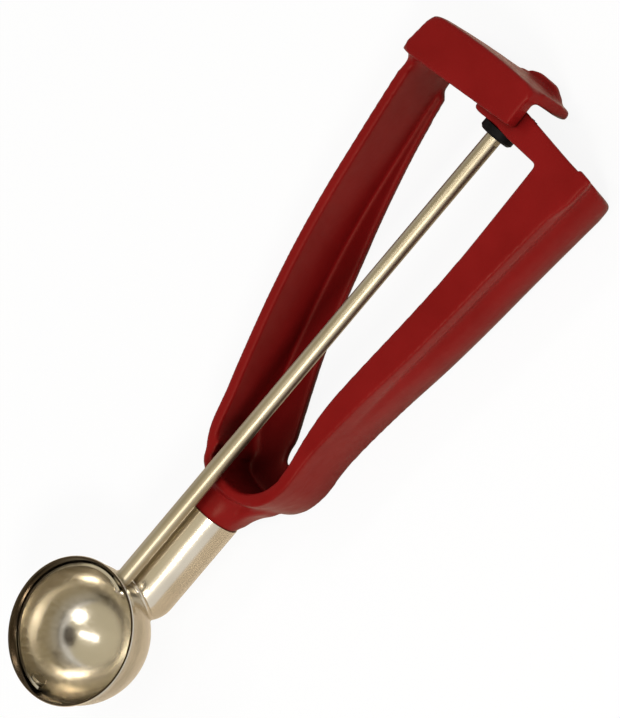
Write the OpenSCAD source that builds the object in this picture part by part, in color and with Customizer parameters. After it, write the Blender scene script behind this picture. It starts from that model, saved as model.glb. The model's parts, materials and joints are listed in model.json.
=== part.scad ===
// Squeeze-handled ice cream scoop with a sweeping blade.
// The handle lies on its flat back on z = 0. +x points from the finger arm to the
// palm arm, +y from the bowl to the thumb rest, and +z is the open side of the bowl.
// The finger arm flexes about a vertical line through its root, the flex axis.
// The rod slopes down from the bowl to the head, so bowl, shank, rod, pinion and
// blade are drawn in the rod's own frame: y along the rod, origin at the bowl's centre.

/* [Bowl] */
// Outer radius of the spun bowl
bowl_r = 23.5; // [20:0.5:27]
// Sheet thickness of the bowl
bowl_wall = 0.8; // [0.6:0.1:1.2]
// Height of the rim above the rod's axis
rim_rise = 4.8; // [3.5:0.1:5.5]
// How far the rim flares past the bowl's radius
rim_flare = 0.8; // [0.4:0.1:1.2]
// Distance from the flex axis back to the bowl's centre
bowl_reach = 70; // [66:1:80]

/* [Blade] */
// Width of the scraper blade
blade_w = 10.5; // [8:0.5:13]
// Thickness of the scraper blade
blade_t = 0.9; // [0.7:0.1:1.3]
// Angle of the resting blade below level
blade_rest = 7.5; // [4:0.5:10]

/* [Rod] */
// Diameter of the rod
rod_d = 5.5; // [5:0.1:6]
// Slope of the rod against the handle
rod_slope = 3.4; // [2.8:0.1:4]
// Height of the bowl's centre above the handle's front face
rod_lift = 6.9; // [6.8:0.1:7.4]

/* [Pinion and rack] */
// Teeth of the pinion
pinion_teeth = 13; // [12:1:14]
// Gear module
gear_module = 1; // [0.9:0.05:1.05]
// Face width of the pinion
pinion_face = 3.8; // [3:0.2:4]
// Tooth clearance across the mesh
backlash = 0.24; // [0.16:0.02:0.3]

/* [Shank] */
// Radius of the steel shank
shank_r = 10.5; // [9.5:0.1:11]
// Wall of the steel shank
shank_wall = 0.9; // [0.7:0.1:1.2]
// Where the shank ends under the handle, measured from the bowl's centre
shank_end = 56; // [52:0.5:57]

/* [Handle] */
// Length of the handle from the flex axis to the crossbar
handle_length = 152; // [146:1:160]
// Depth of the handle from front to back
handle_depth = 25; // [24:0.5:26]
// Thickness of the curved outer walls
web_t = 3.8; // [3.4:0.1:4.2]
// Thickness of the flat front and back walls
skin_t = 3; // [2.4:0.1:3.4]
// Radius of the round root that the finger arm turns on
root_r = 6.5; // [6:0.1:7]
// Slope of the head's top towards the back
head_slope = 12; // [8:1:14]
// How far the palm side swells past the front edge
palm_swell = 1.8; // [1:0.1:2.4]

/* [Thumb rest] */
// Thickness of the crossbar's front wall
bar_t = 6.1; // [5:0.1:7]
// Thickness of the crossbar's skin over its hollow
bar_skin = 2.4; // [1.8:0.1:3]
// Depth of the thumb rest at its free end
rest_depth = 21; // [16:0.5:24]
// Thickness of the thumb rest
rest_t = 4; // [3:0.1:5]
// Height of the thumb stop above the rest
stop_h = 3.4; // [2:0.1:5]

/* [Fits] */
// Running clearance round the rod and pins
running_gap = 0.08; // [0.05:0.01:0.1]
// Clearance between the blade and the bowl
blade_gap = 0.3; // [0.25:0.05:0.5]
// Clearance between plastic pieces that slide past each other
slide_gap = 0.3; // [0.2:0.05:0.5]

/* [Hidden] */
$fn = 96;

red = [0.58, 0.09, 0.11];
steel = [0.80, 0.76, 0.66];
black = [0.1, 0.1, 0.1];
eps = 0.01;

// The plan of the handle is drawn for a length of 152 and grows with it
plan = handle_length / 152;
head_y = 147.6 * plan;
rod_start = handle_depth + rod_lift;
shank_drop = rod_start - handle_depth / 2 - (shank_end + bowl_reach) / 2 * sin(rod_slope);

// Height of the rod's axis at a place along the handle
function rod_z(y) = rod_start - (y + bowl_reach) * tan(rod_slope);
// Place along the rod that belongs to a place along the handle
function along_rod(y) = (y + bowl_reach) / cos(rod_slope);

rod_r = rod_d / 2;
pitch_r = pinion_teeth * gear_module / 2;
pinion_y = along_rod(head_y);
mesh_z = rod_z(head_y) - pitch_r;
sweep = 180 - 2 * blade_rest;
lever_range = sweep * pitch_r / head_y;

// Smooth curve through a few points
function blend(a, b, c, d, t) =
    ((2 * b) + (c - a) * t + (2 * a - 5 * b + 4 * c - d) * t * t + (3 * b - a - 3 * c + d) * t * t * t) / 2;
function smooth(p, steps = 4) = [
    for (i = [0:len(p) - 2])
        for (s = [0:steps - (i == len(p) - 2 ? 0 : 1)])
            blend(p[max(i - 1, 0)], p[i], p[i + 1], p[min(i + 2, len(p) - 1)], s / steps)
];
function reversed(p) = [for (i = [len(p) - 1:-1:0]) p[i]];
// The same curve moved sideways by a distance
function beside(p, d) = [
    for (i = [0:len(p) - 1])
        let (t = p[min(i + 1, len(p) - 1)] - p[max(i - 1, 0)], n = [-t[1], t[0]] / norm(t))
            p[i] + n * d
];

// Outer side of the finger arm, from its root to the head
finger_side = plan * smooth([
    [-4.5, -3.4], [-8.6, 0.8], [-12, 5.3], [-14.4, 10.5], [-17, 20], [-20.2, 30], [-26, 50],
    [-30.8, 70], [-34.4, 90], [-37, 110], [-38.9, 126], [-39.9, 136], [-40.2, 142]
]);
// Inner edge of the finger arm's back wall, from its root to the head
finger_lip = plan * smooth([
    [1.6, 5], [2.6, 16], [0, 22.5], [-5, 33.5], [-10, 45], [-15, 59], [-20, 75.5], [-25, 92],
    [-30, 112], [-33, 128], [-33.8, 132.5], [-36.4, 135]
]);
// Outer side of the base and the palm arm, from under the root to the head
palm_side = plan * smooth([
    [0, -4.5], [7, -4.5], [13.4, -2.6], [17.6, 0.4], [20.5, 4.5], [22, 9], [22.6, 14], [22.5, 28],
    [25, 50], [28, 70], [30.4, 90], [32.6, 110], [35, 130], [36, 138], [37.2, 148]
]);
// Inner edge of the palm arm's front wall, from the pocket to the head
palm_edge = plan * smooth([
    [18.5, 12], [18.1, 18], [16.6, 27], [15.5, 40], [16.3, 55], [18.5, 80], [19.6, 97], [20, 115],
    [20, 141]
]);
// Front edge of the pocket in the base
pocket_edge = plan * smooth([[-7.2, 3], [-4, 0.3], [0, -0.7], [5, -0.7], [10, 0.3], [14, 3], [17, 7], [18.5, 12]]);

neck_top = plan * [[20, 141], [14, 141], [-8.8, 141], [-9.8, 142], [-9.8, 152.4], [7, 151.2], [37.2, 148]];

// Puts its children into the rod's frame
module on_rod() {
    translate([0, -bowl_reach, rod_start])
        rotate([-rod_slope, 0, 0])
            children();
}

// A cylinder along the rod, between two places
module along(r, from, to) {
    translate([0, from, 0])
        rotate([-90, 0, 0])
            cylinder(r = r, h = to - from);
}

module ball(r) {
    sphere(r = r, $fn = 128);
}

// Spun steel bowl with a flared collar, bored for the rod and the far pivot
module bowl() {
    rim_r = bowl_r + rim_flare;
    inner_r = bowl_r - bowl_wall;
    color(steel)
        on_rod()
            difference() {
                union() {
                    difference() {
                        ball(bowl_r);
                        translate([-bowl_r * 2, -bowl_r * 2, 0])
                            cube([bowl_r * 4, bowl_r * 4, bowl_r * 2]);
                    }
                    rotate_extrude()
                        polygon([
                            [0, 0], [bowl_r, 0], [bowl_r, rim_rise * 0.3], [rim_r - 0.25, rim_rise * 0.8],
                            [rim_r, rim_rise - 0.3], [rim_r - 0.2, rim_rise], [0, rim_rise]
                        ]);
                }
                difference() {
                    ball(inner_r);
                    translate([-bowl_r * 2, -bowl_r * 2, 0])
                        cube([bowl_r * 4, bowl_r * 4, bowl_r * 2]);
                }
                rotate_extrude()
                    polygon([
                        [0, 0], [inner_r, 0], [inner_r, rim_rise * 0.3], [inner_r + rim_flare - 0.3, rim_rise * 0.8],
                        [inner_r + rim_flare - 0.1, rim_rise + 0.01], [0, rim_rise + 0.01]
                    ]);
                along(rod_r + running_gap, 0, bowl_r * 2);
                along(pin_r + running_gap, -bowl_r * 2, 0);
            }
}

pin_r = 1.5;
cap_r = 4.6;
// Half the blade's width, from the far eye to the near eye
blade_edge = smooth([
    [-bowl_r - 3, 2.5], [-bowl_r * 0.8, 3.2], [-bowl_r * 0.5, blade_w / 2 - 0.7], [0, blade_w / 2 - 0.1],
    [bowl_r * 0.5, blade_w / 2 - 0.7], [bowl_r * 0.8, 3.6], [bowl_r + 3, 3.6]
], 3);
blade_r = bowl_r - bowl_wall - blade_gap;

// Curved scraper blade: a strip bent round the bowl, with a round eye at each end
module scraper_blade() {
    overlap = asin(cap_r / blade_r);
    color(steel)
        on_rod()
            rotate([0, -blade_rest, 0])
                difference() {
                    rotate([0, 0, 90 - overlap])
                        rotate_extrude(angle = 180 + overlap * 2)
                            intersection() {
                                difference() {
                                    circle(r = blade_r);
                                    circle(r = blade_r - blade_t);
                                }
                                translate([0, -blade_w / 2])
                                    square([bowl_r, blade_w]);
                            }
                    along(rod_r + 0.01, 0, bowl_r);
                    along(pin_r, -bowl_r, 0);
                    // the strip narrows towards both eyes
                    for (side = [-1, 1])
                        translate([-bowl_r, 0, 0])
                            rotate([90, 0, 90])
                                linear_extrude(bowl_r * 2)
                                    polygon([for (q = concat(blade_edge, [[bowl_r + 3, bowl_r], [-bowl_r - 3, bowl_r]]))
                                        [q[0], q[1] * side]]);
                }
}

// Pin riveted through the blade's far eye, turning in the bowl's far wall
module pivot_pin() {
    head_r = 2.5;
    color(steel)
        on_rod()
            union() {
                along(pin_r, -bowl_r - 0.9, -blade_r + 1.6);
                along(head_r, -blade_r + blade_t + 0.3, -blade_r + 2);
                along(head_r, -bowl_r - 1.6, -bowl_r - 0.4);
            }
}

// Rod from the blade's near eye to its riveted end above the pinion
module actuating_rod() {
    flat_w = rod_d - 1;
    color(steel)
        on_rod()
            difference() {
                union() {
                    along(rod_r, blade_r - 2, pinion_top + 0.1);
                    translate([0, pinion_top, 0])
                        rotate([-90, 0, 0])
                            cylinder(r1 = rod_r + 0.5, r2 = rod_r - 0.3, h = 0.9);
                }
                for (side = [-1, 1])
                    translate([side * (flat_w / 2 + rod_r) - rod_r, bushing_low - 2.2, -rod_r])
                        cube([rod_d, pinion_top - bushing_low + 2.2, rod_d]);
            }
}

bushing_flange = 3;
bushing_r = 5.9;
spigot_r = 4;
plate_wall = 2.4;
// The bushing's flange sits under the neck, its spigot reaches to the pinion
bushing_top = along_rod(141 * plan);
bushing_low = bushing_top - bushing_flange;
pinion_low = pinion_y - pinion_face / 2;
pinion_top = pinion_y + pinion_face / 2;

// Black bushing that carries the rod under the neck
module rod_bushing() {
    color(black)
        on_rod()
            difference() {
                union() {
                    translate([0, bushing_low, 0])
                        rotate([-90, 0, 0])
                            rotate_extrude()
                                polygon([[0, 0], [bushing_r - 0.8, 0], [bushing_r, 0.8],
                                         [bushing_r, bushing_flange], [0, bushing_flange]]);
                    along(spigot_r, bushing_top - eps, pinion_low - 0.1);
                }
                along(rod_r + running_gap, bushing_low - 1, pinion_top);
            }
}

// Involute flank from the base circle to the tip
function involute(base, a) = base * [cos(a) + a * PI / 180 * sin(a), sin(a) - a * PI / 180 * cos(a)];
function turned(p, a) = [p[0] * cos(a) - p[1] * sin(a), p[0] * sin(a) + p[1] * cos(a)];

pressure = 20;
pinion_tip = pitch_r + gear_module;
pinion_root = pitch_r - gear_module * 1.1;
base_r = pitch_r * cos(pressure);

function tooth(i) =
    let (
        reach = sqrt(pow(pinion_tip / base_r, 2) - 1) * 180 / PI,
        lean = (tan(pressure) * 180 / PI - pressure),
        half = 90 / pinion_teeth - backlash / 2 / pitch_r * 180 / PI + lean,
        flank = [for (s = [0:5]) turned(involute(base_r, reach * s / 5), -half)],
        foot = turned([pinion_root, 0], -half)
    )
        [for (p = concat([foot], flank, reversed([for (q = flank) [q[0], -q[1]]]), [[foot[0], -foot[1]]]))
            turned(p, 90 + i * 360 / pinion_teeth)];

// Moulded pinion on the rod's flats
module pinion() {
    flat_w = rod_d - 1;
    color(black)
        on_rod()
            translate([0, pinion_low, 0])
                rotate([-90, 0, 0])
                    linear_extrude(pinion_face)
                        difference() {
                            polygon([for (i = [0:pinion_teeth - 1]) each tooth(i)]);
                            intersection() {
                                circle(r = rod_r + 0.02);
                                square([flat_w + 0.04, rod_d + 1], center = true);
                            }
                        }
}

rack_step = gear_module * PI / head_y * 180 / PI;
rack_foot = 1.2 * gear_module;
rack_half = (pinion_face - 0.4) / 2;
rack_low = mesh_z - rack_foot - 3.4;
rack_tail = 14.6;

// Round the flex axis: the bar that carries the rack's teeth, grown by a gap
module rack_bar(gap, from, to, rise = 0) {
    slant = rack_half * tan(rod_slope);
    rotate([0, 0, 90 + from])
        rotate_extrude(angle = to - from, $fn = 360)
            polygon([
                [head_y - rack_half - gap, rack_low - gap], [head_y + rack_half + gap, rack_low - gap],
                [head_y + rack_half + gap, mesh_z - rack_foot - slant + gap + rise],
                [head_y - rack_half - gap, mesh_z - rack_foot + slant + gap + rise]
            ]);
}

// Rack on the finger arm: its teeth point at the flex axis and mesh behind the pinion
module rack() {
    reach = 0.8 * gear_module;
    pitch = gear_module * PI;
    half_tip = pitch / 4 - backlash / 4 - reach * tan(pressure);
    half_base = pitch / 4 - backlash / 4 + rack_foot * tan(pressure);
    color(black)
        union() {
            rack_bar(0, -1.6, rack_tail);
            for (i = [-1:ceil(lever_range / rack_step) + 1])
                rotate([0, 0, (i + 0.5) * rack_step])
                    translate([0, head_y, mesh_z])
                        rotate([-rod_slope, 0, 0])
                            rotate([90, 0, 0])
                                translate([0, 0, -rack_half])
                                    linear_extrude(rack_half * 2)
                                        polygon([[-half_base, -rack_foot - 0.2], [half_base, -rack_foot - 0.2],
                                                 [half_tip, reach], [-half_tip, reach]]);
        }
}

// Steel shank with a closed round end, brazed against the bowl's back
module shank_tube() {
    start = 22;
    color(steel)
        on_rod()
            difference() {
                translate([0, 0, -shank_drop])
                    difference() {
                        union() {
                            along(shank_r, start, shank_end);
                            translate([0, start, 0])
                                ball(shank_r);
                        }
                        along(shank_r - shank_wall, start, shank_end + 1);
                        translate([0, start, 0])
                            ball(shank_r - shank_wall);
                    }
                ball(bowl_r);
                rivet_hole();
            }
}

rivet_r = 2;
module rivet_hole() {
    translate([0, shank_end - 7, -shank_drop - shank_r - 1])
        cylinder(r = rivet_r, h = 8);
}

// Rivet from the back that holds the shank on the handle's spigot
module shank_rivet() {
    color(steel)
        on_rod()
            translate([0, shank_end - 7, -shank_drop - shank_r])
                union() {
                    cylinder(r = rivet_r, h = 6.5);
                    translate([0, 0, -1])
                        cylinder(r1 = rivet_r + 0.6, r2 = rivet_r + 1.4, h = 1.1);
                }
}

// How much of the palm swell shows at a place along the arm, and at a height
function along_swell(y) = let (s = min(max((y - 34) / 60, 0), 1)) s * s * (3 - 2 * s);
swell_section = [[0, 0.25], [1.2, 0.62], [3.5, 0.92], [6.5, 1], [9.5, 0.9], [12.5, 0.55], [15, 0.2],
                 [17.2, 0.02], [19.6, 0.04], [21, 0]];

// Solid through a row of sections with the same number of points
module loft(rows) {
    n = len(rows[0]);
    m = len(rows);
    polyhedron(
        points = [for (r = rows) each r],
        faces = concat(
            [[for (i = [n - 1:-1:0]) i]],
            [[for (i = [0:n - 1]) (m - 1) * n + i]],
            [for (j = [0:m - 2]) for (i = [0:n - 1])
                [j * n + i, j * n + (i + 1) % n, (j + 1) * n + (i + 1) % n, (j + 1) * n + i]]
        )
    );
}

// Swelling of the palm arm's outer side
module palm_swelling() {
    stations = [for (q = palm_side) if (q[1] > 35) q];
    loft([for (q = stations) concat(
        [[q[0] - 1.5, q[1], 0]],
        [for (s = swell_section) [q[0] + max(palm_swell * along_swell(q[1]) * s[1], 0.001), q[1], s[0]]],
        [[q[0] - 1.5, q[1], 21]]
    )]);
}

// Hollow of the palm arm, open at the back
function palm_hollow() = concat(
    [for (p = beside(palm_side, web_t)) if (p[1] > 30 * plan && p[1] < 141 * plan) p],
    plan * [[32, 143.6], [27.5, 144.4], [27.5, 147], [24.5, 147.3], [24.5, 160], [-16, 160], [-16, 143.4], [22, 143.4]],
    reversed([for (p = beside(palm_edge, -2.6)) if (p[1] > 30 * plan && p[1] < 138 * plan) p])
);

// Base, palm arm and neck in one moulding
module handle_frame() {
    color(red)
        difference() {
            union() {
                linear_extrude(handle_depth)
                    polygon(concat(palm_side, reversed(neck_top),
                                   reversed([for (p = palm_edge) if (p[1] > 24 && p[1] < 140.9) p]),
                                   [[9.5, 15.5], [5.6, 10.9], [2.5, 5], [-4, 0.3]]));
                intersection() {
                    cylinder(r = root_r, h = handle_depth);
                    linear_extrude(handle_depth)
                        polygon([[-9, 9], [-9, -3.4], [-4.5, -4.5], [8, -4.5], [8, 9]]);
                }
                palm_swelling();
                on_rod()
                    translate([0, 0, -shank_drop])
                        union() {
                            along(shank_r, shank_end, bowl_reach - 1.5);
                            along(shank_r - shank_wall - 0.05, shank_end - 14, shank_end + 1);
                        }
            }
            // pocket between the root and the palm arm
            translate([0, 0, skin_t])
                linear_extrude(handle_depth)
                    polygon(concat(pocket_edge, [[18.1, 18], [16.6, 27], [9, 27], [-9, 12]]));
            // hollow of the palm arm and the neck
            translate([0, 0, -1])
                linear_extrude(handle_depth - skin_t + 1)
                    polygon(palm_hollow());
            // way of the rack, and room for the pinion under the crossbar
            rack_bar(slide_gap + 0.1, -lever_range - 4, rack_tail, gear_module * 2);
            on_rod()
                union() {
                    along(pinion_tip + 0.4, pinion_low - 0.2, pinion_top + 0.3);
                    along(rod_r + 0.8, pinion_top, pinion_top + 1.4);
                    // seat and bore of the bushing, and a groove where the rod crosses the base
                    along(spigot_r + 0.02, bushing_top - 2, pinion_y);
                    along(bushing_r + 1.2, bushing_low - 4, bushing_top);
                    along(rod_r + 0.3, bowl_reach - 8, bowl_reach + 8);
                    rivet_hole();
                }
            // the head slopes down towards the back
            translate(concat(neck_top[5], [handle_depth]))
                rotate([0, 0, -6])
                    rotate([-head_slope, 0, 0])
                        translate([-18, 0, -handle_depth * 2])
                            cube([60, 20, handle_depth * 3]);
        }
}

bar_low = handle_depth + slide_gap;
bar_high = bar_low + bar_t;
bar_slope = 4.8;

// Finger arm with the crossbar and the thumb rest in one moulding
module lever_arm() {
    inner_side = beside(finger_side, -web_t);
    color(red)
        difference() {
            union() {
                linear_extrude(handle_depth)
                    polygon(concat(finger_side, reversed(inner_side)));
                linear_extrude(skin_t)
                    polygon(concat(finger_side, reversed(finger_lip)));
                arm_head();
                crossbar();
            }
            translate([0, 0, -1])
                cylinder(r = root_r + 0.15, h = handle_depth + 2);
            rack_bar(0.02, 0, rack_tail + 0.02);
        }
}

// Top of the finger arm behind the crossbar, where the rack is seated
module arm_head() {
    linear_extrude(bar_low + 1)
        polygon(plan * [[-40.2, 139], [-36.1, 139], [-33.5, 142.5], [-33.5, 154.2], [-38, 154]]);
}

// Crossbar: hollow front wall, and the thumb rest that runs back over the neck
module crossbar() {
    long = 47.9 * plan;
    tall = 14.85 * plan;
    low = bar_high - rest_depth;
    translate(plan * [-40.3, 139.9, 0])
        rotate([0, 0, bar_slope])
            union() {
                difference() {
                    translate([0, 0, bar_low])
                        linear_extrude(bar_t)
                            polygon([[0, 0], [long, 1.1], [long + 1.1, tall], [3.5, tall]]);
                    translate([0, 0, bar_low - 1])
                        linear_extrude(bar_t - bar_skin + 1)
                            polygon([[7.5, 2.1], [long - 1.9, 2.2], [long - 1.9, tall - rest_t], [7.5, tall - rest_t]]);
                }
                translate([0, tall - rest_t, 0])
                    rotate([90, 0, 0])
                        mirror([0, 0, 1])
                            linear_extrude(rest_t)
                                polygon([
                                    [3.5, bar_high], [long + 1.1, bar_high], [long + 3.5, low + 5], [long + 4.1, low + 1.6],
                                    [long + 2.8, low], [long - 10, low], [3.5, bar_high - 7]
                                ]);
                translate([long - 18.5, tall - 0.1, low])
                    thumb_stop();
            }
}

// Raised stop along the back of the thumb rest
module thumb_stop() {
    linear_extrude(3)
        polygon([
            [0, 0], [2.2, stop_h * 0.7], [4.6, stop_h * 0.95], [7, stop_h], [10.5, stop_h * 0.92],
            [13.5, stop_h * 0.7], [16, stop_h * 0.35], [18, 0]
        ]);
}

bowl();
shank_tube();
shank_rivet();
handle_frame();
lever_arm();
rack();
actuating_rod();
pinion();
rod_bushing();
scraper_blade();
pivot_pin();
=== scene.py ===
# %% [markdown]
# # Dressing a squeeze-handled ice cream scoop
# The imported CAD model is a fixed skeleton: it already has the right sizes and joints. This
# lesson adds what a camera sees on the real tool: a moulded handle with soft edges, spun and
# polished steel, and a white studio. Lengths are in metres, in the CAD model's own frame: the
# handle lies on its back on z = 0, +y runs from the bowl to the thumb rest, and the bowl opens
# towards +z. Drawn outlines and pushes are in millimetres, because they are easier to
# read that way, and are divided by 1000 where they reach a mesh.

# %% Load the skeleton
import json
import math
from contextlib import contextmanager

import bmesh
import bpy
from mathutils import Matrix, Vector

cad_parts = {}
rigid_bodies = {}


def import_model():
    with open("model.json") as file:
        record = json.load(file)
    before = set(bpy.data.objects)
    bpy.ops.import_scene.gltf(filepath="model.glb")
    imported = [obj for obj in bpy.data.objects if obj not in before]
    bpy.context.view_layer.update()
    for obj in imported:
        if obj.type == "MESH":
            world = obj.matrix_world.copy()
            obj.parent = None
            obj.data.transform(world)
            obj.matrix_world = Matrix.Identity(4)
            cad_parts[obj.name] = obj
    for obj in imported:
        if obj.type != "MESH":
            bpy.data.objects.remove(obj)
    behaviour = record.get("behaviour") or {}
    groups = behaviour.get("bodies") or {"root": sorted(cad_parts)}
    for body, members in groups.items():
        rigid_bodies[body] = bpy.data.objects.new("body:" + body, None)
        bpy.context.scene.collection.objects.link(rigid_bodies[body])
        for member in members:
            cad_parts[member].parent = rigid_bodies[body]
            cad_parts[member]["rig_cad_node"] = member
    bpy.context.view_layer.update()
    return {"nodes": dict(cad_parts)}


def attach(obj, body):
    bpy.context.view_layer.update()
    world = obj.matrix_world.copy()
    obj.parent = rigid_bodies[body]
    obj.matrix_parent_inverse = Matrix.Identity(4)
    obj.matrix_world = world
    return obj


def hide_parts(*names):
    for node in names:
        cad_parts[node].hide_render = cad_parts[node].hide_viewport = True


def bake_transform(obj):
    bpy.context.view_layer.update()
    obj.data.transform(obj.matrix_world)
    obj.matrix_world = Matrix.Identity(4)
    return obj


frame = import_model()
print("CAD nodes:", sorted(frame["nodes"]))

# %% [markdown]
# ## Camera
# The photograph was taken from well above the open side of the bowl, with a long lens, so the
# two arms hardly converge. A camera could be set by eye; here its place and turn come from
# matching the rim of the bowl, the rod and the handle's corners to the photograph, because
# then every later difference is one of shape and not of view.

# %% Camera
CAMERA_PLACE = (0.43008, 0.26181, 0.75862)
CAMERA_TURN = (10.0182, 31.8083, 45.0335)  # degrees about x, y and z
SENSOR_WIDTH, LENS = 36, 140.04  # millimetres

bpy.ops.object.camera_add(location=CAMERA_PLACE)
camera = bpy.context.object
camera.name = "studio_camera"
camera.rotation_euler = [math.radians(angle) for angle in CAMERA_TURN]
camera.data.sensor_width = SENSOR_WIDTH
camera.data.lens = LENS
camera.data.clip_start = 0.05
bpy.context.scene.camera = camera
bpy.context.scene.view_settings.view_transform = "Standard"
print("camera is", round(camera.location.length, 3), "m from the origin, lens", LENS, "mm")

# %% [markdown]
# ## Studio
# The background is paper white. A white that depends on the lamps would be grey in one view
# and burnt out in the next. So rays from the camera and mirror-like rays get their white
# directly, through the Light Path node, and the lamps only light the object.

# %% White for rays that are seen
def feed(tree, socket, value):
    """Links a socket to another node's output, or gives it a fixed value."""
    if isinstance(value, bpy.types.NodeSocket):
        tree.links.new(value, socket)
    else:
        socket.default_value = value


def math_node(tree, operation, left, right):
    node = tree.nodes.new("ShaderNodeMath")
    node.operation = operation
    feed(tree, node.inputs[0], left)
    feed(tree, node.inputs[1], right)
    return node.outputs[0]


def white_for_sight(tree, shader, share):
    """Mixes a share of plain white into a shader for camera, glossy and transmitted rays."""
    paths = tree.nodes.new("ShaderNodeLightPath").outputs
    seen = math_node(tree, "MAXIMUM", paths["Is Camera Ray"], paths["Is Glossy Ray"])
    seen = math_node(tree, "MAXIMUM", seen, paths["Is Transmission Ray"])
    glow = tree.nodes.new("ShaderNodeEmission")
    glow.inputs["Color"].default_value = (1, 1, 1, 1)
    mix = tree.nodes.new("ShaderNodeMixShader")
    feed(tree, mix.inputs["Fac"], math_node(tree, "MULTIPLY", seen, share))
    feed(tree, mix.inputs[1], shader)
    feed(tree, mix.inputs[2], glow.outputs[0])
    return mix.outputs[0]


# %% World
WORLD_STRENGTH = 0.42  # dim for the object, while what is seen directly stays white

world = bpy.data.worlds.new("paper_white")
world.use_nodes = True
bpy.context.scene.world = world
tree = world.node_tree
tree.nodes.clear()
dim = tree.nodes.new("ShaderNodeBackground")
dim.inputs["Color"].default_value = (1.0, 0.98, 0.96, 1)
dim.inputs["Strength"].default_value = WORLD_STRENGTH
surface = tree.nodes.new("ShaderNodeOutputWorld").inputs["Surface"]
feed(tree, surface, white_for_sight(tree, dim.outputs[0], 1.0))
print("world:", world.name)

# %% Floor
FLOOR_HEIGHT = -0.0002  # just under the handle's back, so the two don't share a plane

bpy.ops.mesh.primitive_plane_add(size=6, location=(0, 0, FLOOR_HEIGHT))
floor = bpy.context.object
floor.name = "studio_floor"
paper = bpy.data.materials.new("floor_paper")
paper.use_nodes = True
tree = paper.node_tree
matt = tree.nodes["Principled BSDF"]
matt.inputs["Base Color"].default_value = (0.93, 0.93, 0.93, 1)
matt.inputs["Roughness"].default_value = 0.9
matt.inputs["Specular IOR Level"].default_value = 0.1
surface = tree.nodes["Material Output"].inputs["Surface"]
feed(tree, surface, white_for_sight(tree, matt.outputs[0], 0.9))
floor.data.materials.append(paper)
print("floor:", tuple(round(size, 2) for size in floor.dimensions))

# %% [markdown]
# ## Lamps
# Polished steel shows each lamp as a bright shape, and the photograph shows a round one and a
# long slanted one in the bowl. A lamp's place can be read backwards from such a spot: a sight
# line is mirrored at the bowl's wall, and the lamp stands along the mirrored line. The third
# lamp only brightens the left side, so it is kept out of reflections.

# %% Lamps
def softbox(name, place, aim, size, power, tint, along=(0, 1, 0)):
    """A rectangular area lamp that faces a point; the first size lies along a direction."""
    bpy.ops.object.light_add(type="AREA", location=place)
    lamp = bpy.context.object
    lamp.name = name
    lamp.data.shape = "RECTANGLE"
    lamp.data.size, lamp.data.size_y = size
    lamp.data.energy = power
    lamp.data.color = tint
    back = (Vector(place) - Vector(aim)).normalized()
    across = back.cross(Vector(along)).normalized()
    lamp.rotation_euler = Matrix((across.cross(back), across, back)).transposed().to_euler()
    print(name, "at", place)
    return lamp


softbox("key_softbox", (0.70, -0.11, 0.74), (0, -0.02, 0.01), (0.2, 0.2), 4.6, (1.0, 0.97, 0.93))
softbox("strip_softbox", (0.187, 0.166, 0.942), (0, -0.07, 0.03), (0.5, 0.04), 1.8,
        (1.0, 0.98, 0.95), (-0.8, -0.37, 0.47))
left = softbox("left_softbox", (-0.55, 0.05, 0.80), (0, 0.03, 0.01), (0.8, 0.1), 1.6,
               (1.0, 0.97, 0.93))
left.visible_glossy = False

# %% [markdown]
# ## Cards
# Photographers hang dim cards round shiny things: white walls alone would wash a glossy red
# out to pink and leave steel without any shape. Grey paint on the steel would look right from
# one side only, so real cards stand round the tool, seen only in reflections.

# %% Selecting one object
def take(thing):
    """Makes one object the only selected and active one, in object mode."""
    if bpy.context.object and bpy.context.object.mode != "OBJECT":
        bpy.ops.object.mode_set(mode="OBJECT")
    bpy.ops.object.select_all(action="DESELECT")
    thing.select_set(True)
    bpy.context.view_layer.objects.active = thing
    return thing


# %% Cards
HALF_SIDE = 0.7071  # half a square's side, where its corners lie 1 from the middle


def card(name, place, aim, size, shade, corners=4):
    """A glowing card that faces a point: size is a square card's sides, else its radii."""
    bpy.ops.mesh.primitive_circle_add(vertices=corners, radius=1, fill_type="NGON")
    thing = take(bpy.context.object)
    thing.name = name
    if corners == 4:
        bpy.ops.transform.rotate(value=math.pi / 4, orient_axis="Z", center_override=(0, 0, 0))
        size = [side * HALF_SIDE for side in size]
    thing.scale = (size[0], size[1], 1)
    thing.rotation_mode = "QUATERNION"
    bpy.ops.object.transform_apply(location=False, rotation=True, scale=True)
    thing.rotation_quaternion = (Vector(aim) - Vector(place)).to_track_quat("-Z", "Y")
    thing.location = place
    thing.visible_camera = False
    thing.visible_diffuse = False
    thing.visible_shadow = False
    thing.visible_transmission = False
    mat = bpy.data.materials.new(name + "_cloth")
    mat.use_nodes = True
    cloth = mat.node_tree.nodes["Principled BSDF"]
    cloth.inputs["Base Color"].default_value = (0.02, 0.02, 0.02, 1)
    cloth.inputs["Roughness"].default_value = 1.0
    cloth.inputs["Emission Color"].default_value = (*shade, 1)
    cloth.inputs["Emission Strength"].default_value = 1.0
    thing.data.materials.append(mat)
    print(name, "glows", shade)


card("ceiling_card", (0, 0, 1.3), (0, 0, 0), (1.7, 1.7), (0.72, 0.66, 0.50), 64)
card("camera_card", (0.528, 0.492, 0.667), (0, -0.07, 0.03), (0.34, 0.19), (0.06, 0.045, 0.035), 48)
card("table_card", (0, 0.47, 0.0002), (0, 0.47, -1), (3.0, 1.02), (0.44, 0.38, 0.29))
card("front_card", (0, -0.55, 0.0002), (0, -0.55, -1), (3.0, 1.0), (1.5, 1.25, 0.95))

# %% [markdown]
# ## Finishes
# Each finish is a small node tree on Object coordinates, so a pattern stays on its piece and
# has the same scale everywhere. An image texture would need unwrapping and would show seams;
# noise needs neither.

# %% Helpers for finishes
SPREAD = (0.3, 0.7)  # noise hardly leaves this range, so it is stretched from here


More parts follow.
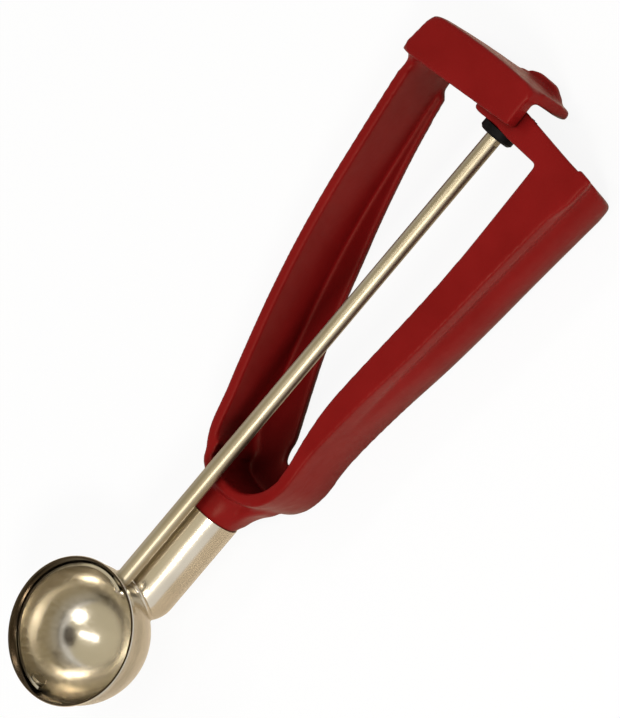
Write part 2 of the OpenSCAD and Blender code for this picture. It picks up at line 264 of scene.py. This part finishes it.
def finish_base(name):
    """A new material: itself, its node tree, its shader and its Object coordinates."""
    mat = bpy.data.materials.new(name)
    mat.use_nodes = True
    tree = mat.node_tree
    place = tree.nodes.new("ShaderNodeTexCoord").outputs["Object"]
    print("finish:", name)
    return mat, tree, tree.nodes["Principled BSDF"], place


def noise(tree, place, scale, detail, stretch=None):
    if stretch:
        move = tree.nodes.new("ShaderNodeMapping")
        move.inputs["Scale"].default_value = stretch
        feed(tree, move.inputs["Vector"], place)
        place = move.outputs["Vector"]
    tex = tree.nodes.new("ShaderNodeTexNoise")
    tex.inputs["Scale"].default_value = scale
    tex.inputs["Detail"].default_value = detail
    feed(tree, tex.inputs["Vector"], place)
    return tex.outputs["Fac"]


def ramp(tree, value, low, high, at=SPREAD):
    node = tree.nodes.new("ShaderNodeMapRange")
    for name, number in zip(("From Min", "From Max", "To Min", "To Max"), (*at, low, high)):
        node.inputs[name].default_value = number
    feed(tree, node.inputs["Value"], value)
    return node.outputs["Result"]


def shades(tree, value, dark, light):
    node = tree.nodes.new("ShaderNodeValToRGB")
    for stop, position, color in zip(node.color_ramp.elements, SPREAD, (dark, light)):
        stop.position = position
        stop.color = (*color, 1)
    feed(tree, node.inputs["Fac"], value)
    return node.outputs["Color"]


def mix_colors(tree, factor, first, second):
    node = tree.nodes.new("ShaderNodeMix")
    node.data_type = "RGBA"
    feed(tree, node.inputs["Factor"], factor)
    feed(tree, node.inputs["A"], first)
    feed(tree, node.inputs["B"], second)
    return node.outputs["Result"]


def bump(tree, shader, layers):
    """Chains bump layers, each a height and its depth in metres."""
    last = None
    for height, depth in layers:
        node = tree.nodes.new("ShaderNodeBump")
        node.inputs["Strength"].default_value = 1.0
        node.inputs["Distance"].default_value = depth
        feed(tree, node.inputs["Height"], height)
        if last:
            feed(tree, node.inputs["Normal"], last)
        last = node.outputs["Normal"]
    feed(tree, shader.inputs["Normal"], last)


# %% [markdown]
# The handle is moulded in a deep red plastic with a satin skin. Its colour clouds a little,
# and its surface is slightly uneven. Hollows get painted shade: Ambient Occlusion finds them in
# any view and darkens the colour there to nearly black. A low specular level keeps the red
# from turning pink.

# %% Red moulded plastic
PAINTED_SHADE_REACH = 0.03  # metres over which a near wall darkens the colour

red, tree, shader, place = finish_base("red_moulded_plastic")
cloud = noise(tree, place, 60, 4)
grain = noise(tree, place, 1400, 2)
pigment = shades(tree, cloud, (0.180, 0.0042, 0.0045), (0.215, 0.0062, 0.0066))
# painted shade: Ambient Occlusion finds hollows, and the base colour is darkened there to nearly
# black
depth = tree.nodes.new("ShaderNodeAmbientOcclusion")
depth.inputs["Distance"].default_value = PAINTED_SHADE_REACH
unshaded_share = ramp(tree, depth.outputs["AO"], 0.0, 1.0, (0.15, 0.75))
color = mix_colors(tree, unshaded_share, (0.030, 0.0020, 0.0018, 1), pigment)
feed(tree, shader.inputs["Base Color"], color)
feed(tree, shader.inputs["Roughness"], ramp(tree, noise(tree, place, 220, 4), 0.30, 0.42))
shader.inputs["Specular Tint"].default_value = (1.0, 0.72, 0.52, 1)
shader.inputs["Specular IOR Level"].default_value = 0.10
bump(tree, shader, [(cloud, 0.0004), (grain, 0.00003)])

# %% [markdown]
# Bushing, pinion and rack are of black bearing plastic, matt from the mould. One fine noise
# serves colour, roughness and bump, because on the real thing all three come from the same
# sparked mould wall.

# %% Black plastic
black, tree, shader, place = finish_base("black_moulded_plastic")
grain = noise(tree, place, 1200, 2)
color = shades(tree, grain, (0.004, 0.004, 0.004), (0.009, 0.008, 0.008))
feed(tree, shader.inputs["Base Color"], color)
feed(tree, shader.inputs["Roughness"], ramp(tree, grain, 0.42, 0.55))
shader.inputs["Specular IOR Level"].default_value = 0.05
bump(tree, shader, [(grain, 0.00002)])

# %% [markdown]
# All the steel is stainless, and each piece keeps the marks of its making: rod and tube are
# drawn, so their fine marks run along them, and bowl and blade are polished up and down. Four
# separate node trees would repeat themselves, so one function makes them, with noise that is
# stretched along y or z.

# %% Steel finishes
ALONG_Y, ALONG_Z = (1, 0.04, 1), (1, 1, 0.1)  # a small scale stretches the noise


def steel_finish(name, dark, light, rough, marks, depth):
    mat, tree, shader, place = finish_base(name)
    shader.inputs["Metallic"].default_value = 1.0
    streak = noise(tree, place, 900, 3, marks)
    cloud = noise(tree, place, 45, 3)
    feed(tree, shader.inputs["Base Color"], shades(tree, cloud, dark, light))
    feed(tree, shader.inputs["Roughness"], ramp(tree, streak, *rough))
    if depth:
        bump(tree, shader, [(streak, depth)])
    return mat


PALE_STEEL = (0.50, 0.46, 0.38), (0.60, 0.55, 0.46)
rod_steel = steel_finish(
    "drawn_rod_steel", (0.31, 0.265, 0.185), (0.38, 0.33, 0.24), (0.38, 0.40), ALONG_Y, 0)
tube_steel = steel_finish(
    "polished_tube_steel", (0.52, 0.47, 0.38), (0.62, 0.56, 0.46), (0.16, 0.22), ALONG_Y, 0.000002)
blade_steel = steel_finish("blade_steel", *PALE_STEEL, (0.18, 0.26), ALONG_Z, 0.000005)
bowl_steel = steel_finish("spun_bowl_steel", *PALE_STEEL, (0.15, 0.23), ALONG_Z, 0.000005)

# %% [markdown]
# A dark band inside the rim is a painted reflection of dark surroundings. A ring of its own
# would be a piece that the tool doesn't have. The band is painted into the bowl's colour
# instead, found by its height over the bowl's middle and by facing inwards.

# %% Painted dark reflection band inside the rim
BOWL_MIDDLE = (0, -0.07, 0.0319)
MOUTH_WAY = (0, 0.0593, 0.9982)  # out of the bowl's mouth


def dot(tree, left, right):
    node = tree.nodes.new("ShaderNodeVectorMath")
    node.operation = "DOT_PRODUCT"
    feed(tree, node.inputs[0], left)
    feed(tree, node.inputs[1], right)
    return node.outputs["Value"]


tree = bowl_steel.node_tree
shader = tree.nodes["Principled BSDF"]
place = tree.nodes.new("ShaderNodeTexCoord").outputs
arm = tree.nodes.new("ShaderNodeVectorMath")
arm.operation = "SUBTRACT"
arm.inputs[1].default_value = BOWL_MIDDLE
feed(tree, arm.inputs[0], place["Object"])
height = ramp(tree, dot(tree, arm.outputs[0], MOUTH_WAY), 0, 1, (0.0014, 0.0024))
inward = ramp(tree, dot(tree, arm.outputs[0], place["Normal"]), 1, 0, (0.008, 0.014))
# painted reflection: a dark colour is mixed into the steel's own colour high inside the rim, where
# it faces inwards
painted_reflection_band = math_node(tree, "MULTIPLY", height, inward)
bright = shader.inputs["Base Color"].links[0].from_socket
color = mix_colors(tree, painted_reflection_band, bright, (0.07, 0.052, 0.036, 1))
feed(tree, shader.inputs["Base Color"], color)
print("nodes in the bowl's finish:", len(tree.nodes))

# %% [markdown]
# ## The moulded handle
# The real handle is one injection moulding: palm arm, base, finger arm and crossbar come out
# of one mould, and the base flexes when the arms are squeezed. A moulding has no sharp edge
# and no seam. Bevels would round the edges but can't fill the corners where arms and neck
# meet. So copies of the skeleton's two halves are joined with a few fills, remeshed into an
# even skin, and smoothed, which rounds edges and fills corners the way plastic does.

# %% Copies of CAD nodes
@contextmanager
def editing(thing):
    """Edit mode on one object, with all of its mesh selected."""
    take(thing)
    bpy.ops.object.mode_set(mode="EDIT")
    bpy.ops.mesh.select_all(action="SELECT")
    yield
    bpy.ops.object.mode_set(mode="OBJECT")


def copy_of(node, name):
    """A loose copy of a CAD node, merged into a closed shell and no CAD node any more."""
    thing = frame["nodes"][node].copy()
    thing.data = thing.data.copy()
    thing.name = name
    thing.parent = None
    del thing["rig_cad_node"]
    bpy.context.scene.collection.objects.link(thing)
    thing.hide_render = False
    thing.hide_set(False)
    with editing(thing):
        bpy.ops.mesh.remove_doubles(threshold=0.000002)
    print(name, "starts with", len(thing.data.polygons), "faces")
    return thing


# %% Fills and cutters
def settle(thing):
    """Moves an object's place, turn and size into its mesh."""
    take(thing)
    bpy.ops.object.transform_apply(location=True, rotation=True, scale=True)
    return thing


def prism(name, outline, low, high):
    """A block between two heights, in millimetres, with a drawn outline."""
    bpy.ops.mesh.primitive_circle_add(vertices=len(outline), radius=0.01, fill_type="NGON")
    thing = bpy.context.object
    thing.name = name
    for vert, (x, y) in zip(thing.data.vertices, outline):
        vert.co = (x / 1000, y / 1000, low / 1000)
    with editing(thing):
        up = (0, 0, (high - low) / 1000)
        bpy.ops.mesh.extrude_region_move(TRANSFORM_OT_translate={"value": up})
        bpy.ops.mesh.select_all(action="SELECT")
        bpy.ops.mesh.normals_make_consistent(inside=False)
    return settle(thing)


# %% Modifiers, joining and carving
def apply(thing, kind, **values):
    take(thing)
    mod = thing.modifiers.new(kind.lower(), kind)
    for key, value in values.items():
        setattr(mod, key, value)
    bpy.ops.object.modifier_apply(modifier=mod.name)


def join(into, *others):
    take(into)
    for other in others:
        other.select_set(True)
    bpy.ops.object.join()


def carve(thing, tool):
    apply(thing, "BOOLEAN", operation="DIFFERENCE", solver="EXACT", object=tool)
    bpy.data.objects.remove(tool, do_unlink=True)


# %% [markdown]
# The crossbar slides only 0.3 mm in front of the plate, which is finer than the skin's mesh,
# so the remesh would weld the two together. The crossbar's end is lifted a little before the
# remesh and lowered again once the halves are apart, and one near corner is carved away.

# %% Skin of the whole moulding
HEAD_LIFT = 1.3  # millimetres
VOXEL = 0.00045


def lift(thing, height):
    """Raises the crossbar's end of the finger arm, fading out down the arm."""
    for vert in thing.data.vertices:
        vert.co.z += height / 1000 * min(1, max(0, (vert.co.y - 0.126) / 0.010))


arms = copy_of("handle_frame", "handle_moulding")
carve(arms, prism("plate_corner", [(-13, 151.5), (-3, 151.0), (-3, 156), (-13, 156)], 19, 26))
fingers = copy_of("lever_arm", "finger_half")
lift(fingers, HEAD_LIFT)
root = prism("root_fill", [
    (-7.5, -2.5), (-3, -4.3), (3, -4.5), (3, -0.9), (-4, 0.3), (-6.6, 2.6), (-6.6, 7),
    (-9.5, 7), (-10.6, 4.2)], 0, 25)
floor_fill = prism("floor_fill", [
    (-8, 3), (3, -2), (8, 9), (7.6, 12.6), (4.4, 10.4), (1.0, 19.5), (-3, 24)], 0, 3)
flare = prism("neck_flare", [
    (8, -14), (10.2, -13), (11.4, -9.5), (13.4, -6.0), (17.2, -1.6), (11, 0), (7, -4)], 6, 16.5)
join(arms, fingers, root, floor_fill, flare)
apply(arms, "REMESH", mode="VOXEL", voxel_size=VOXEL)
apply(arms, "SMOOTH", factor=0.5, iterations=26)
print("moulding faces:", len(arms.data.polygons))

# %% [markdown]
# A mould's inside corners are milled with ball cutters, so some corners are much rounder than
# the rest. A vertex group marks balls round those corners, and a second, stronger smoothing
# works there alone.

# %% Rounder corners
SOFT_CORNERS = [  # x, y, z and radius, in millimetres
    # front of the base, over the neck
    (-4, -7, 24, 8), (4, -8, 24, 8), (0, -10, 21, 7), (8, -3.5, 24, 6), (13, -2.5, 24, 5),
    # root of the finger arm
    (-9, 7, 12, 6), (-9, 7, 20, 5), (-9, 7, 5, 5), (-9, -3, 12, 5),
    # floor between the arms
    (2, 6, 3, 7), (3, 12, 3, 6), (-2, 16, 3, 6),
    # flare from the neck to the palm arm
    (10, -8, 12, 9), (12, -6, 6, 7), (11, -8, 18, 9), (10, -9, 17, 7), (9, -7, 19, 6),
    (16, -3, 12, 8),
    # head of the finger arm, and the crossbar's two ends
    (-39, 138, 22, 6), (-34, 139, 12, 6), (-6, 156, 12, 6), (9, 156, 12, 6),
    (-40, 140, 30, 4), (-38, 155, 30, 4), (7, 159, 30, 4),
    # head of the palm arm
    (21, 141, 12, 5), (39, 143, 3, 6), (39, 143, 11, 6), (39, 143, 20, 6),
]


def near(thing, name, spots):
    """Makes a vertex group that fades out round each spot."""
    group = thing.vertex_groups.new(name=name)
    balls = [(Vector(s[:3]) / 1000, s[3] / 1000) for s in spots]
    for vert in thing.data.vertices:
        weight = max(1 - (vert.co - middle).length / radius for middle, radius in balls)
        if weight > 0:
            group.add([vert.index], min(1, weight * 2.5), "REPLACE")


near(arms, "corners", SOFT_CORNERS)
apply(arms, "SMOOTH", factor=0.5, iterations=100, vertex_group="corners")
print("rounded corners:", len(SOFT_CORNERS))

# %% [markdown]
# The moulding bends at its base, so the finished skin is cut there into the half that stays
# and the half that moves. Two halves made apart would show a seam at rest. This cut runs
# through the thick of the base, where nothing moves yet, so it never opens.

# %% Cut at the flexing base
FLEX_START = Vector((-0.00215, 0.006, 0.0125))
FLEX_WAY = Vector((-0.62, 0.785, 0)).normalized()
ROOT_BOX = (-0.014, 0.0075), (-0.004, 0.017)  # x and y ranges of the finger arm's root


def cut_in_two(thing, x_range, y_range):
    """Cuts the faces inside a box by the flex plane, and splits the skin along that cut."""
    mesh = bmesh.new()
    mesh.from_mesh(thing.data)
    faces = []
    for face in mesh.faces:
        c = face.calc_center_median()
        if x_range[0] < c.x < x_range[1] and y_range[0] < c.y < y_range[1]:
            faces.append(face)
    geom = list({e for f in faces for e in f.edges} | {v for f in faces for v in f.verts}) + faces
    result = bmesh.ops.bisect_plane(
        mesh, geom=geom, plane_co=FLEX_START, plane_no=FLEX_WAY, dist=1e-7)
    edges = [e for e in result["geom_cut"] if isinstance(e, bmesh.types.BMEdge)]
    bmesh.ops.split_edges(mesh, edges=edges)
    mesh.to_mesh(thing.data)
    mesh.free()


cut_in_two(arms, *ROOT_BOX)
with editing(arms):
    bpy.ops.mesh.separate(type="LOOSE")
parts = sorted(bpy.context.selected_objects, key=lambda part: -len(part.data.polygons))
print("parts:", [(part.name, len(part.data.polygons)) for part in parts])
for scrap in parts[2:]:
    bpy.data.objects.remove(scrap, do_unlink=True)
finger_half, palm_half = sorted(parts[:2], key=lambda part: max(v.co.x for v in part.data.vertices))
lift(finger_half, -HEAD_LIFT)

# %% [markdown]
# The photograph shows softer forms than the skeleton has: the crossbar bows upwards, the thumb
# rest droops at its end, the palm side has a shallow finger groove, and the plate has a small
# step beside its corner. They could be sculpted by hand with a brush. Here each point is
# pushed by a short formula, which gives the same form each time the lesson runs.

# %% Pushing the skin
HIGHEST_Y, LOWEST_Z = 0.16095, 0  # the skin stays inside the CAD model's box


def fade(value, start, end):
    """Rises smoothly from 0 at start to 1 at end."""
    share = min(1, max(0, (value - start) / (end - start)))
    return share * share * (3 - 2 * share)


def sculpt(thing, push):
    """Moves each point by push(x, y, z, normal), all in millimetres."""
    normals = [vert.normal.copy() for vert in thing.data.vertices]
    for vert, normal in zip(thing.data.vertices, normals):
        x, y, z = vert.co * 1000
        vert.co += Vector(push(x, y, z, normal)) / 1000
        vert.co.y = min(vert.co.y, HIGHEST_Y)
        vert.co.z = max(vert.co.z, LOWEST_Z)
    print("sculpted", len(normals), "points of", thing.name)


# %% Form of the crossbar and the thumb rest
CROSSBAR_SLOPE = math.radians(4.8)
CROSSBAR_X, CROSSBAR_Y = -40.3, 139.9  # its lower left corner
BOW, HALF_BOW = 1.2, 24  # rise of the front edge's middle, and half the bow's length
DROOP, DROOP_BACK = 2.8, 0.9  # how far the thumb rest's end sinks towards -z and -y
DOME_SLIDE, DOME_RISE = 0.9, 0.3


def crossbar_form(x, y, z, normal):
    if y < 138:
        return (0, 0, 0)
    c, s = math.cos(CROSSBAR_SLOPE), math.sin(CROSSBAR_SLOPE)
    along = (x - CROSSBAR_X) * c + (y - CROSSBAR_Y) * s
    up = (y - CROSSBAR_Y) * c - (x - CROSSBAR_X) * s
    arch = max(0, 1 - ((along - HALF_BOW) / HALF_BOW) ** 2)
    rise = BOW * arch * fade(up, 7, 14) * (1 - fade(up, 15, 16.5))
    slide = DOME_SLIDE * fade(up, 14.9, 16) * (1 - fade(along, 32, 45))
    droop = fade(25 - z, 0, 14) * fade(up, 9, 10.5) * fade(along, 26, 38)
    rise -= DROOP_BACK * droop * fade(along, 40, 50)
    rise += DOME_RISE * fade(up, 15.4, 17.4)
    return (slide * c - rise * s, rise * c + slide * s, max(-DROOP * droop, -z))


sculpt(finger_half, crossbar_form)

# %% Form of the palm arm
GROOVE, GROOVE_Z, GROOVE_WIDTH = 1.0, 16.5, 2.4
WIDEN, STEP = 1.5, 0.8  # the head's outer side, and the step on its upper edge


def palm_form(x, y, z, normal):
    if x < 4:
        return (0, 0, 0)
    groove = GROOVE * math.exp(-((z - GROOVE_Z) / GROOVE_WIDTH) ** 2)
    groove = groove * fade(y, 35, 70) * fade(normal.x, 0.4, 0.8)
    widen = WIDEN * fade(y, 130, 141) * fade(z, 18, 24) * fade(x, 27, 31)
    step = STEP * fade(x, 31.2, 32.2) * fade(y, 139, 143)
    return (widen - groove, step, 0)


sculpt(palm_half, palm_form)

# %% [markdown]
# The even skin has far more faces than its gentle forms need, so a decimation keeps less than
# half of them. Then both halves get their finish. The palm half stays with the handle's body.
# The finger half only has its place moved into its mesh and is given no body here.

# %% Halves of the handle
KEPT_FACES = 0.45

palm_half.name = "handle_palm_half"
finger_half.name = "handle_finger_half"
for half in (palm_half, finger_half):
    apply(half, "DECIMATE", ratio=KEPT_FACES)
    print(half.name, "faces:", len(half.data.polygons))
    bpy.ops.object.shade_smooth()
    half.vertex_groups.clear()
    half.data.materials.clear()
    half.data.materials.append(red)
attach(palm_half, "handle")
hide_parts("handle_frame")
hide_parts("lever_arm")
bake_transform(finger_half)

# %% [markdown]
# ## Brazed joint
# The tube meets the spun bowl in a saddle-shaped line, and braze fills that corner. A boolean
# and a bevel could make the fillet, but on such thin walls they tear easily. The bead starts
# as a ring round the tube instead, and each of its points is slid along the tube until the
# ring lies on the bowl.

# %% Bead of braze between tube and bowl
RING_RADIUS, BEAD_RADIUS = 10.4, 1.15  # millimetres, as all of this cell
TUBE_DROP = 15.66  # from the rod's axis down to the tube's
BEAD_REACH, LEAST_REACH = 23.3, 14.0  # from the bowl's middle
ROD_TILT = math.radians(3.4)
BOWL_Y, BOWL_Z = -70, 31.9  # the bowl's middle

bpy.ops.mesh.primitive_torus_add(
    major_radius=RING_RADIUS, minor_radius=BEAD_RADIUS, major_segments=144, minor_segments=16)
bead = settle(bpy.context.object)
bead.name = "braze_bead"
c, s = math.cos(ROD_TILT), math.sin(ROD_TILT)
for vert in bead.data.vertices:
    x, z, lift_off = vert.co
    turn = math.atan2(x, z)
    ring_x, ring_z = RING_RADIUS * math.sin(turn), RING_RADIUS * math.cos(turn) - TUBE_DROP
    away = math.sqrt(max(BEAD_REACH ** 2 - ring_x ** 2 - ring_z ** 2, LEAST_REACH ** 2))
    thin = 1 - fade(abs(turn), 1.15, 1.9) * 0.4
    y, z = away + lift_off * 1.2, z * thin - TUBE_DROP
    vert.co = Vector((x * thin, BOWL_Y + y * c + z * s, BOWL_Z - y * s + z * c)) / 1000
with editing(bead):
    bpy.ops.mesh.normals_make_consistent(inside=False)
bpy.ops.object.shade_smooth()
bead.data.materials.append(tube_steel)
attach(bead, "handle")
print("bead faces:", len(bead.data.polygons))

# %% [markdown]
# ## Rack
# The rack's free end has a tapered lead-in, as any bar has that must enter a window. It also
# keeps that end below the plate's edge, where the photograph shows nothing black. The taper
# is carved off a copy, because a CAD node's own mesh is never changed.

# %% Lead-in on the rack
rack = copy_of("rack", "rack_bar")
carve(rack, prism("rack_slope", [(-14, 150.1), (8, 146.8), (8, 153), (-14, 153)], 4, 24))
print("rack faces:", len(rack.data.polygons))
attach(rack, "lever")
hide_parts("rack")
rack.data.materials.clear()
rack.data.materials.append(black)

# %% [markdown]
# ## Other pieces
# The turned and spun pieces already have their true shape in the skeleton, with crisp edges
# as machined steel has them. They keep their meshes and only get their finishes.

# %% Finishes on the CAD nodes
DRESS = {
    "bowl": bowl_steel, "scraper_blade": blade_steel, "pivot_pin": rod_steel,
    "shank_tube": tube_steel, "shank_rivet": rod_steel, "actuating_rod": rod_steel,
    "rod_bushing": black, "pinion": black, "rack": black,
}
for node, mat in DRESS.items():
    materials = frame["nodes"][node].data.materials
    materials.clear()
    materials.append(mat)
    print(node, "wears", mat.name)
